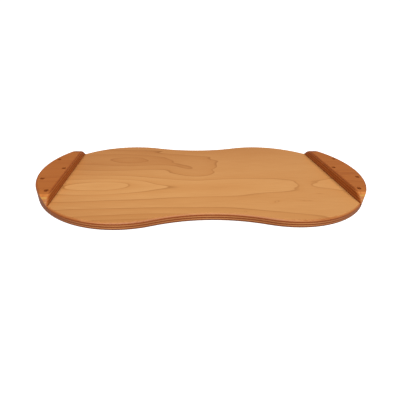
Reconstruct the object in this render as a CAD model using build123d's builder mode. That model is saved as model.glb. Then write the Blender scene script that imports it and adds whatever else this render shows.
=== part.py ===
from build123d import *
import math
import os

# Transfer board: a waisted plywood deck with a raised plywood block screwed down on each end.
# Frame: +X along the board, +Y across it, +Z up, with the origin on the underside at its centre.
# All sizes are in millimetres. Each sheet of veneer is a piece, and so is each set of screws.

# Deck outline: a round as wide as the board at each end, and a hollow waist between the rounds
board_length = 610.0
board_width = 326.0
waist_depth = 23.0  # how far each side is hollowed at the waist

# Deck sheet
deck_ply_thickness = 2.0
deck_ply_count = 7
deck_edge_radius = 3.8

# End blocks, cut flush with the deck's ends
block_depth = 49.5  # from the straight inner face to the end of the board
block_ply_thickness = 2.2
block_ply_count = 7
block_rim_radius = 5.0  # rounding of the curved outer top edge
block_face_radius = 3.5  # rounding of the straight inner top edge
block_tip_slope = 33.0  # length over which each pointed tip curves down to the deck

# Countersunk wood screws, their heads sunk a little below the top of the block
head_diameter = 7.5
head_angle = 90.0
head_recess = 1.0
shank_diameter = 4.0
shank_hole_clearance = 0.25  # all round, so that the screw pulls the block down on the deck
core_diameter = 2.8  # the threaded end, which the deck's pilot hole is drilled to
point_length = 3.0
deck_bite = 9.5  # how far a screw reaches down into the deck
pilot_extra_depth = 1.0
cross_length = 4.4
cross_width = 1.0
cross_depth = 1.3

# Screw pattern of one block: a zigzag of five, evenly spaced across the board
screws_across = 5
face_margin = 1.0  # wood left between a screw head and the rounding beside it or the tip's slope
rim_margin = 3.0  # flat wood left between a screw head and the rim's rounding

# Heights and radii that follow from the sizes above
deck_thickness = deck_ply_count * deck_ply_thickness
block_thickness = block_ply_count * block_ply_thickness
block_top = deck_thickness + block_thickness
head_top = block_top - head_recess
screw_length = head_top - deck_thickness + deck_bite
end_radius = board_width / 2
end_centre = board_length / 2 - end_radius
waist_reach = end_radius - waist_depth
waist_radius = (end_centre**2 - waist_depth**2) / (2 * waist_depth) - waist_reach
waist_centre = waist_reach + waist_radius
join_angle = math.degrees(math.atan2(waist_centre, -end_centre))
inner_face = board_length / 2 - block_depth
tip_reach = math.sqrt(end_radius**2 - (inner_face - end_centre) ** 2)
slope_start = tip_reach - block_tip_slope
slope_radius = (block_tip_slope**2 + block_thickness**2) / (2 * block_thickness)
head_bared = slope_start + math.sqrt(2 * slope_radius * head_recess - head_recess**2)
face_screw_row = inner_face + block_face_radius + head_diameter / 2 + face_margin
rim_screw_reach = end_radius - block_rim_radius - head_diameter / 2 - rim_margin


def export(piece, label):
    """Name a finished piece and write it as a STEP file of the same name."""
    piece.label = label
    export_step(piece, f"parts/{label}.step")


def export_plies(blank, name, bottom, ply_thickness, ply_count):
    """Cut a glued-up blank into its sheets of veneer, numbered from the lowest up."""
    for layer in range(ply_count):
        with BuildPart() as ply:
            add(blank)
            with Locations((0, 0, bottom + layer * ply_thickness)):
                Box(
                    2 * board_length,
                    2 * board_width,
                    ply_thickness,
                    align=(Align.CENTER, Align.CENTER, Align.MIN),
                    mode=Mode.INTERSECT,
                )
        export(ply.part, f"{name}_ply_{layer + 1}")


def screw_places(height, side=1):
    """Where one block's screws go: in turn beside the inner face and beside the curved rim.

    The two outermost stop short of the rim's rounding and of where the slope would bare their heads.
    """
    clear_of_rim = math.sqrt(rim_screw_reach**2 - (face_screw_row - end_centre) ** 2)
    clear_of_slope = head_bared - head_diameter / 2 - face_margin
    widest = min(clear_of_rim, clear_of_slope)
    places = []
    for turn in range(screws_across):
        across = widest * (2 * turn / (screws_across - 1) - 1)
        beside_rim = end_centre + math.sqrt(rim_screw_reach**2 - across**2)
        along = beside_rim if turn % 2 else face_screw_row
        places.append((side * along, across, height))
    return places


os.makedirs("parts", exist_ok=True)

# Outline: a quarter of it in two arcs that meet in line, mirrored both ways
with BuildSketch() as outline:
    with BuildLine():
        CenterArc((end_centre, 0), end_radius, 0, join_angle)
        CenterArc((0, waist_centre), waist_radius, join_angle - 180, 90 - join_angle)
        mirror(about=Plane.YZ)
        mirror(about=Plane.XZ)
    make_face()

# Deck: every lower edge is rounded, and the upper edge too, except under the blocks
with BuildPart() as square_topped_deck:
    add(outline.sketch)
    extrude(amount=deck_thickness)
    fillet(square_topped_deck.edges().group_by(Axis.Z)[0], deck_edge_radius)

with BuildPart() as deck_middle:
    add(square_topped_deck.part)
    fillet(deck_middle.edges().group_by(Axis.Z)[-1], deck_edge_radius)
    Box(2 * inner_face, 2 * board_width, 2 * deck_thickness, mode=Mode.INTERSECT)

with BuildPart() as deck:
    add(square_topped_deck.part)
    Box(2 * inner_face, 2 * board_width, 2 * deck_thickness, mode=Mode.SUBTRACT)
    add(deck_middle.part)
    with Locations(screw_places(deck_thickness) + screw_places(deck_thickness, side=-1)):
        Hole(core_diameter / 2, deck_bite + pilot_extra_depth)

# Right-hand block: the outline beyond the inner face, under a top that curves down to the deck at
# each tip and is rounded along the inner face
with BuildPart() as beyond_inner_face:
    with BuildSketch(Plane.YZ.offset(inner_face)):
        with BuildLine():
            Line((-tip_reach, deck_thickness), (tip_reach, deck_thickness))
            Line((-slope_start, block_top), (slope_start, block_top))
            TangentArc((slope_start, block_top), (tip_reach, deck_thickness), tangent=(1, 0))
            TangentArc((-slope_start, block_top), (-tip_reach, deck_thickness), tangent=(-1, 0))
        make_face()
    extrude(amount=board_length)
    inner_edges = beyond_inner_face.edges().group_by(Axis.X)[0]
    fillet(inner_edges.sort_by(Axis.Z)[1:], block_face_radius)

with BuildPart() as right_block:
    with BuildSketch(Plane.XY.offset(deck_thickness)):
        add(outline.sketch)
    extrude(amount=block_thickness)
    fillet(right_block.edges().group_by(Axis.Z)[-1], block_rim_radius)
    add(beyond_inner_face.part, mode=Mode.INTERSECT)
    with Locations(screw_places(head_top)):
        CounterSinkHole(
            shank_diameter / 2 + shank_hole_clearance,
            head_diameter / 2,
            depth=2 * block_thickness,
            counter_sink_angle=head_angle,
        )

with BuildPart() as left_block:
    mirror(right_block.part, about=Plane.YZ)

# One screw, standing on its point's side of the origin, with the top of its head at height 0
with BuildPart() as screw:
    with BuildSketch(Plane.XZ):
        with BuildLine():
            head_radius = head_diameter / 2
            shank_radius = shank_diameter / 2
            head_depth = (head_radius - shank_radius) / math.tan(math.radians(head_angle / 2))
            thread_start = screw_length - deck_bite
            Polyline(
                (0, 0),
                (head_radius, 0),
                (shank_radius, -head_depth),
                (shank_radius, -thread_start),
                (core_diameter / 2, -thread_start),
                (core_diameter / 2, point_length - screw_length),
                (0, -screw_length),
                close=True,
            )
        make_face()
    revolve(axis=Axis.Z)
    with BuildSketch():
        Rectangle(cross_length, cross_width)
        Rectangle(cross_width, cross_length)
    extrude(amount=-cross_depth, mode=Mode.SUBTRACT)

with BuildPart() as right_block_screws:
    with Locations(screw_places(head_top)):
        add(screw.part)

with BuildPart() as left_block_screws:
    mirror(right_block_screws.part, about=Plane.YZ)

export_plies(deck.part, "deck", 0, deck_ply_thickness, deck_ply_count)
export_plies(right_block.part, "right_block", deck_thickness, block_ply_thickness, block_ply_count)
export_plies(left_block.part, "left_block", deck_thickness, block_ply_thickness, block_ply_count)
export(right_block_screws.part, "right_block_screws")
export(left_block_screws.part, "left_block_screws")
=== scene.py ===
import math

import bpy
from mathutils import Matrix, Vector


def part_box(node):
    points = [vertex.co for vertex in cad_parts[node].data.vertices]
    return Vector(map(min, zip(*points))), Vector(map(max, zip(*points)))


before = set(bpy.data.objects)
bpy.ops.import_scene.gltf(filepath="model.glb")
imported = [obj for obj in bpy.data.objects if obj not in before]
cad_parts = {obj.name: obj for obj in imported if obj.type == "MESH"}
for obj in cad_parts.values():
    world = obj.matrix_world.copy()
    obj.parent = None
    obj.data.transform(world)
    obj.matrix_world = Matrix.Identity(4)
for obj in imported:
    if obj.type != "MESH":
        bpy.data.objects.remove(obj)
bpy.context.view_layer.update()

# Everything stands on the CAD pieces, so their boxes give the heights that the glue lines lie at
MM = 0.001
DECK_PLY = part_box("deck_ply_1")[1][2]
DECK_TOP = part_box("deck_ply_7")[1][2]
BLOCK_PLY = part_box("left_block_ply_1")[1][2] - DECK_TOP
TOP_SHEET = 7
GLUE_LINE = 0.15 * MM  # how much of each side of a sheet a dark line covers
GROOVE = 0.12 * MM  # how deep the grooves along the grain are drawn


def linear(code):
    """An sRGB hex colour as the linear red, green, blue and alpha that a shader works in."""
    channels = [int(code[start : start + 2], 16) / 255 for start in (1, 3, 5)]
    return [c / 12.92 if c <= 0.04045 else ((c + 0.055) / 1.055) ** 2.4 for c in channels] + [1]


def add(tree, kind, *values, stops=(), **settings):
    """Adds a shader node with its settings, and fills its inputs in turn with numbers, colours or links.

    None leaves an input alone, and a node is linked by its first output in use. stops are the places and
    sRGB hex colours of a colour ramp.
    """
    node = tree.nodes.new("ShaderNode" + kind)
    for name, setting in settings.items():
        setattr(node, name, setting)
    for index, (place, colour) in enumerate(stops):
        elements = node.color_ramp.elements
        element = elements[index] if index < 2 else elements.new(place)
        element.position = place
        element.color = linear(colour)
    for socket, value in zip([socket for socket in node.inputs if socket.enabled], values):
        if isinstance(value, bpy.types.Node):
            value = next(output for output in value.outputs if output.enabled)
        if isinstance(value, bpy.types.NodeSocket):
            tree.links.new(value, socket)
        elif value is not None:
            socket.default_value = value
    return node


# The figure of the deck's face veneer, peeled from the log as a wavy sheet. How far out in the log it
# lies, counted in growth rings, is a start plus hills and hollows: middle, reach, turn in degrees and
# height. A ring's edge shows wherever that count is a whole number. Sizes are in millimetres.
FACE_START = 0.52
FACE_HILLS = [
    # The nested ovals at the left, the long oval across the middle and the small one at the right
    ((-245, -48), (168, 44), 0, 2.1),
    ((-175, -42), (70, 24), 0, 1.2),
    ((40, -52), (152, 32), 3, 1.14),
    ((300, -47), (60, 26), 0, 1.6),
    ((190, -48), (11, 32), 0, -0.4),
    # The hollow at the back left, with its round end and the hooked line that runs into a dark lens
    ((-210, 80), (190, 54), 0, -2.1),
    ((-85, 64), (44, 26), 0, -0.6),
    ((-5, 42), (42, 44), 0, -0.75),
    ((-148, 76), (44, 28), 0, -1.2),
    ((-25, 0), (62, 20), 0, -0.5),
    ((-31, 31), (44, 17), -24, -0.73),
    # The long lines along the front, and two ripples at the back edge
    ((-100, -190), (220, 50), 0, -4.6),
    ((80, 104), (95, 7), 0, 0.3),
    ((-20, 120), (110, 9), 0, 0.34),
    # Small flecks at the front right
    ((116, -106), (12, 4), 25, 0.53),
    ((170, -104), (25, 2.5), 0, 0.48),
    ((200, -79), (15, 2.5), 0, 0.39),
    ((57, -136), (3, 3), 0, 0.38),
]
# How much the face veneer is tinted darker, laid out in the same way: painted shade towards the back, and
# more at the left end
SHADE_AND_HEART_START = 0.3
SHADE_AND_HEART_HILLS = [
    # Painted shade, darker towards the back, where the light falls off
    ((-60, 190), (480, 115), 0, 0.9),
    # Darker towards the left end
    ((-310, -20), (120, 170), 0, 0.6),
]
SHADE_AND_HEART_TINT = "#e6d8ca"


def hilly(tree, flat, start, hills):
    """A start plus each hill's height times e to the minus squared distance, in reaches, from its middle."""
    count = start
    for (x, y), (reach_x, reach_y), turn, height in hills:
        middle = (x * MM, y * MM, 0)
        spin = (0, 0, math.radians(turn))
        reach = (reach_x * MM, reach_y * MM, 1)
        apart = add(tree, "Mapping", flat, middle, spin, reach, vector_type="TEXTURE")
        squared = add(tree, "VectorMath", apart, apart, operation="DOT_PRODUCT")
        falloff = add(tree, "Math", math.exp(-1), squared, operation="POWER")
        count = add(tree, "Math", falloff, height, count, operation="MULTIPLY_ADD")
    return count


def mottle(tree, place, size, detail):
    """Soft blotches from 0 to 1, about as long, wide and high as size, which is in millimetres."""
    stretched = add(tree, "Mapping", place, None, None, [1 / (side * MM) for side in size])
    return add(tree, "TexNoise", stretched, 1.0, detail, 0.55)


def growth_wood(tree, ring, streaks, fibres, colours):
    """The colour of wood cut along its fibres: growth rings, overlaid with streaks and blotches."""
    pale, mid, deep, line = colours
    # Pale early wood that deepens slowly to a thin late edge, then starts again
    stops = [(0.0, pale), (0.5, mid), (0.88, deep), (0.975, line), (1.0, pale)]
    wood = add(tree, "ValToRGB", ring, stops=stops)
    streak_amount = add(tree, "MapRange", streaks, 0.45, 0.8, 0.0, 0.42)
    wood = add(tree, "Mix", streak_amount, wood, linear(line), data_type="RGBA")
    # Blotches 80 mm long and 26 mm wide, because birch takes a finish unevenly
    blotches = add(tree, "MapRange", fibres(80, 26, 3), 0.35, 0.7, 0.0, 0.45)
    return add(tree, "Mix", blotches, wood, linear(deep), data_type="RGBA")


def sanded_and_shaded_edge(tree, wood, level, colour):
    """The sheet's edge, cut open by sanding, drawn darker where it turns from flat: partly for the lacquer it
    soaks up, partly painted shade that keeps the lit rounded lip no brighter than the top.
    """
    soaked_and_shaded = add(tree, "MapRange", level, 0.995, 0.8, 0.0, 0.7)
    return add(tree, "Mix", soaked_and_shaded, wood, linear(colour), data_type="RGBA")


def end_grain(tree, wood, surface, grain, colours):
    """Dark wood wherever the surface faces along the fibres, speckled by its pores."""
    along = (1, 0, 0) if grain == "X" else (0, 1, 0)
    facing = add(tree, "VectorMath", surface.outputs["Normal"], along, operation="DOT_PRODUCT")
    across = add(tree, "Math", add(tree, "Math", facing, operation="ABSOLUTE"), 0.75, operation="POWER")
    # Specks 0.9 mm across, because real pores are about a tenth of that and too fine to show
    pores = mottle(tree, surface.outputs["Object"], (0.9, 0.9, 0.7), 2)
    deep, pale = colours
    end_wood = add(tree, "ValToRGB", pores, stops=[(0.32, deep), (0.68, pale)])
    return add(tree, "Mix", across, wood, end_wood, data_type="RGBA")


def glue_lines(tree, wood, height, level, start, thickness):
    """A dark line at the bottom and top of each sheet, seen only where it is cut.

    The height above start, over thickness, counts sheets. The line shows where the fraction of that
    lies within a glue line of a whole number.
    """
    above = add(tree, "Math", height, start, operation="SUBTRACT")
    layer = add(tree, "Math", add(tree, "Math", above, thickness, operation="DIVIDE"), operation="FRACT")
    from_middle = add(tree, "Math", layer, 0.5, operation="SUBTRACT")
    off_middle = add(tree, "Math", from_middle, operation="ABSOLUTE")
    at_glue = add(tree, "Math", off_middle, 0.5 - GLUE_LINE / thickness, operation="GREATER_THAN")
    cut = add(tree, "MapRange", level, 0.99, 0.8, 0.0, 0.4)
    glue = add(tree, "Math", at_glue, cut, operation="MULTIPLY")
    return add(tree, "Mix", glue, wood, linear("#5a260a"), data_type="RGBA")


def satin_lacquer(tree, shader, streaks, ring, relief):
    """Clear lacquer, dull over open pores and smoother between them, with shallow grooves along the grain."""
    dullness = add(tree, "Math", streaks, 0.2, 0.38, operation="MULTIPLY_ADD")
    tree.links.new(dullness.outputs[0], shader.inputs["Roughness"])
    grooves = add(tree, "Math", streaks, ring, operation="ADD")
    bump = add(tree, "Bump", relief, GROOVE, None, grooves)
    tree.links.new(bump.outputs[0], shader.inputs["Normal"])
    shader.inputs["IOR"].default_value = 1.5
    shader.inputs["Specular IOR Level"].default_value = 0.3


def lay_veneer(name, grain, colours, rings, relief):
    """A material for one sort of veneer, cut, sanded, and finished with clear satin lacquer.

    grain is the axis that its fibres run along. colours are sRGB hex values: "ring" is pale, mid and deep
    wood and the line at a growth ring's edge, "end" is deep and pale end grain, and "edge" is the sheet's
    sanded edge where it differs from that line, darker partly as painted shade on the rounded lip.
    "heartwood_and_shade", if given, works out how much a place is tinted darker, by heartwood and by painted
    shade towards the back. rings gives the growth rings from the tree, the flattened place and the fibre
    mottle.
    relief is how strongly the grooves along the grain catch the light.
    """
    material = bpy.data.materials.new(name)
    material.use_nodes = True
    tree = material.node_tree
    shader = tree.nodes["Principled BSDF"]
    surface = add(tree, "TexCoord")
    place = surface.outputs["Object"]
    height = add(tree, "SeparateXYZ", place).outputs["Z"]
    flat = add(tree, "VectorMath", place, (1, 1, 0), operation="MULTIPLY")
    upright = add(tree, "SeparateXYZ", surface.outputs["Normal"]).outputs["Z"]
    level = add(tree, "Math", upright, operation="ABSOLUTE")

    def fibres(length, width, detail):
        """Mottle drawn out along the grain, in millimetres."""
        size = (length, width, width) if grain == "X" else (width, length, width)
        return mottle(tree, place, size, detail)

    count, wander = rings(tree, flat, fibres)
    ring = add(tree, "Math", add(tree, "Math", count, wander), operation="FRACT")
    # Streaks of fibre and pores, 34 mm long and 1.1 mm wide, because real ones are too fine to show
    streaks = fibres(34, 1.1, 4)
    wood = growth_wood(tree, ring, streaks, fibres, colours["ring"])
    # Tinted darker: painted shade towards the back, and heartwood further in
    if "heartwood_and_shade" in colours:
        tint = add(tree, "Clamp", colours["heartwood_and_shade"](tree, flat, count))
        wood = add(tree, "Mix", tint, wood, linear(SHADE_AND_HEART_TINT), data_type="RGBA", blend_type="MULTIPLY")
    # Darker edges: the lacquer that sanded edges soak up, plus painted shade on the rounded lip
    wood = sanded_and_shaded_edge(tree, wood, level, colours.get("edge", colours["ring"][-1]))
    wood = end_grain(tree, wood, surface, grain, colours["end"])
    start, thickness = (0.0, DECK_PLY) if name.startswith("deck") else (DECK_TOP, BLOCK_PLY)
    wood = glue_lines(tree, wood, height, level, start, thickness)
    tree.links.new(wood.outputs[2], shader.inputs["Base Color"])
    satin_lacquer(tree, shader, streaks, ring, relief)
    return material


def face_rings(tree, flat, fibres):
    """The deck face's own figure, wavering by up to a sixth of a ring over 95 mm and less over 26 mm."""
    wander = add(tree, "Math", fibres(95, 17, 0), 0.34, -0.17, operation="MULTIPLY_ADD")
    tremble = add(tree, "Math", fibres(26, 8, 2), 0.03, wander, operation="MULTIPLY_ADD")
    return hilly(tree, flat, FACE_START, FACE_HILLS), tremble


def plain_rings(tree, flat, fibres):
    """Quiet straight figure: a ring edge every few centimetres, running on for some 300 mm."""
    sway = add(tree, "Math", fibres(330, 46, 1), 4.5, operation="MULTIPLY")
    return sway, add(tree, "Math", fibres(60, 12, 2), 0.3, operation="MULTIPLY")


def heartwood_and_shade(tree, flat, count):
    """How much the face veneer is tinted darker: painted shade towards the back, more at the left end, and
    heartwood further in.
    """
    drift = hilly(tree, flat, SHADE_AND_HEART_START, SHADE_AND_HEART_HILLS)
    return add(tree, "Math", count, -0.2, drift, operation="MULTIPLY_ADD")


def deck_veneers():
    """Birch under clear lacquer, a warm honey colour, with dark end grain that stripes the deck's edge.

    The long-grained sheets show only on the shaded edge, so they are painted lighter than the face, a painted
    lift against that shade.
    """
    honey = ("#c58f56", "#c18a51", "#bc834a", "#a46d38")
    shade_lifted_honey = ("#f0ad74", "#eca66b", "#e39a5e", "#bd7a42")
    end = ("#7a3008", "#92450f")
    face = {"ring": honey, "edge": "#a8662e", "end": end, "heartwood_and_shade": heartwood_and_shade}
    return {
        # Peeled from the turning log, so its rings open out into ovals and hooks
        "deck_face": lay_veneer("deck_face_birch_peeled", "X", face, face_rings, 0.25),
        # Grain along the board: smooth stripes at the front and back, painted paler than the face against the
        # edge's shade, dark ones round the ends
        "deck_long": lay_veneer(
            "deck_birch_long_grain", "X", {"ring": shade_lifted_honey, "end": end}, plain_rings, 0.2
        ),
        # Grain across the board: the other way about
        "deck_cross": lay_veneer(
            "deck_birch_cross_grain", "Y", {"ring": honey, "end": end}, plain_rings, 0.2
        ),
    }


def block_veneers():
    """Birch stained a reddish brown before it was lacquered, and golden where sanding cut through.

    The sheets below the face show mostly in shade, so they are painted lighter than their wood, a painted
    lift against that shade.
    """
    stained = ("#a15b23", "#9f5a22", "#9c5720", "#944f1b")
    golden = ("#cf9d4e", "#ca9647", "#c08a3b", "#9a6024")
    # Golden and russet: the unstained birch below the stain, painted lighter than it is as a lift against the
    # shade where these sheets show
    russet = ("#ea9a52", "#e3914a", "#d8853e", "#b06428")
    face = {"ring": stained, "edge": "#95602a", "end": ("#7e350b", "#9c4a16")}
    long_grain = {"ring": golden, "end": ("#98400f", "#b8601f")}
    cross_grain = {"ring": russet, "end": ("#824512", "#9c5d20")}
    return {
        # The stained face: even, brown and quiet
        "block_face": lay_veneer("block_face_birch_stained", "X", face, plain_rings, 0.15),
        # Grain along the board: golden stripes on the tips, dark end grain on the inner face
        "block_long": lay_veneer("block_birch_long_grain", "X", long_grain, plain_rings, 0.2),
        # Grain across the board: brown stripes on the tips, russet ones on the inner face
        "block_cross": lay_veneer("block_birch_cross_grain", "Y", cross_grain, plain_rings, 0.2),
    }


def bronze_screw():
    """Steel wood screws plated dark bronze: a dull brown metal, rubbed paler in patches."""
    material = bpy.data.materials.new("bronze_plated_steel")
    material.use_nodes = True
    tree = material.node_tree
    shader = tree.nodes["Principled BSDF"]
    place = add(tree, "TexCoord").outputs["Object"]
    # Rubbed patches about 1.6 mm across, a fifth of a screw head
    rubbed = mottle(tree, place, (1.6, 1.6, 1.6), 4)
    colour = add(tree, "ValToRGB", rubbed, stops=[(0.35, "#86400f"), (0.6, "#9c5018"), (0.8, "#b96f30")])
    dullness = add(tree, "Math", rubbed, 0.25, 0.35, operation="MULTIPLY_ADD")
    tree.links.new(colour.outputs[0], shader.inputs["Base Color"])
    tree.links.new(dullness.outputs[0], shader.inputs["Roughness"])
    # Half metallic, between bare metal and the dull brown of aged plating
    shader.inputs["Metallic"].default_value = 0.5
    return material


def finish_of(node):
    """Which finish a piece gets: the screws, a top sheet, or a sheet by its turn in the stack."""
    if node.endswith("screws"):
        return "screws"
    stack = "deck" if node.startswith("deck") else "block"
    layer = int(node.rsplit("_", 1)[1])
    if layer == TOP_SHEET:
        return stack + "_face"
    return stack + ("_long" if layer % 2 else "_cross")


def studio():
    """A pale matt floor that runs out of sight, a white room, and one broad soft light above the front."""
    scene = bpy.context.scene
    reach = 40.0
    corners = [(-reach, -reach, 0), (reach, -reach, 0), (reach, reach, 0), (-reach, reach, 0)]
    mesh = bpy.data.meshes.new("floor")
    mesh.from_pydata(corners, [], [(0, 1, 2, 3)])
    floor = bpy.data.objects.new("floor", mesh)
    floor.location.z = -0.1 * MM
    scene.collection.objects.link(floor)

    # A mid grey for the light that it throws back, while the camera alone sees it glow white
    paint = bpy.data.materials.new("lit_white_floor")
    paint.use_nodes = True
    tree = paint.node_tree
    shader = tree.nodes["Principled BSDF"]
    shader.inputs["Base Color"].default_value = linear("#a0a0a0")
    shader.inputs["Roughness"].default_value = 0.9
    shader.inputs["Emission Color"].default_value = (1, 1, 1, 1)
    seen = add(tree, "LightPath").outputs["Is Camera Ray"]
    tree.links.new(seen, shader.inputs["Emission Strength"])
    mesh.materials.append(paint)

    # The camera sees a white room, which fills the shadows with about a fifth of that
    world = bpy.data.worlds.new("white_room")
    scene.world = world
    world.use_nodes = True
    tree = world.node_tree
    background = tree.nodes["Background"]
    background.inputs["Color"].default_value = (1, 1, 1, 1)
    strength = add(tree, "Math", add(tree, "LightPath"), 0.9, 0.21, operation="MULTIPLY_ADD")
    tree.links.new(strength.outputs[0], background.inputs["Strength"])

    lamp = bpy.data.lights.new("softbox", "SUN")
    lamp.energy = 4.12
    lamp.angle = math.radians(54)
    softbox = bpy.data.objects.new("softbox", lamp)
    softbox.rotation_euler = Vector((0.08, -0.55, 1.0)).to_track_quat("Z", "Y").to_euler()
    scene.collection.objects.link(softbox)
    scene.view_settings.view_transform = "Standard"


def aim_camera(target, distance, pitch, yaw, roll, lens, shift):
    """A camera that looks down at target by pitch, from the board's front turned by yaw, tilted by roll."""
    rise, turn, tilt = math.radians(pitch), math.radians(yaw), math.radians(roll)
    back = Vector((math.sin(turn) * math.cos(rise), -math.cos(turn) * math.cos(rise), math.sin(rise)))
    level = Vector((0, 0, 1)).cross(back).normalized()
    upright = back.cross(level)
    right = level * math.cos(tilt) + upright * math.sin(tilt)
    turned = Matrix((right, back.cross(right), back)).transposed().to_4x4()
    camera = bpy.data.objects.new("camera", bpy.data.cameras.new("camera"))
    camera.matrix_world = Matrix.Translation(Vector(target) + back * distance) @ turned
    camera.data.lens = lens
    camera.data.shift_x, camera.data.shift_y = shift
    camera.data.clip_start = 0.01
    bpy.context.scene.collection.objects.link(camera)
    bpy.context.scene.camera = camera


finishes = {**deck_veneers(), **block_veneers(), "screws": bronze_screw()}
for name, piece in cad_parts.items():
    piece.data.materials.clear()
    piece.data.materials.append(finishes[finish_of(name)])

studio()
aim_camera(
    target=(-0.0331, -0.0633, 0),
    distance=0.5092,
    pitch=29.78,
    yaw=-3.23,
    roll=1.12,
    lens=25.42,
    shift=(0.0347, -0.0074),
)
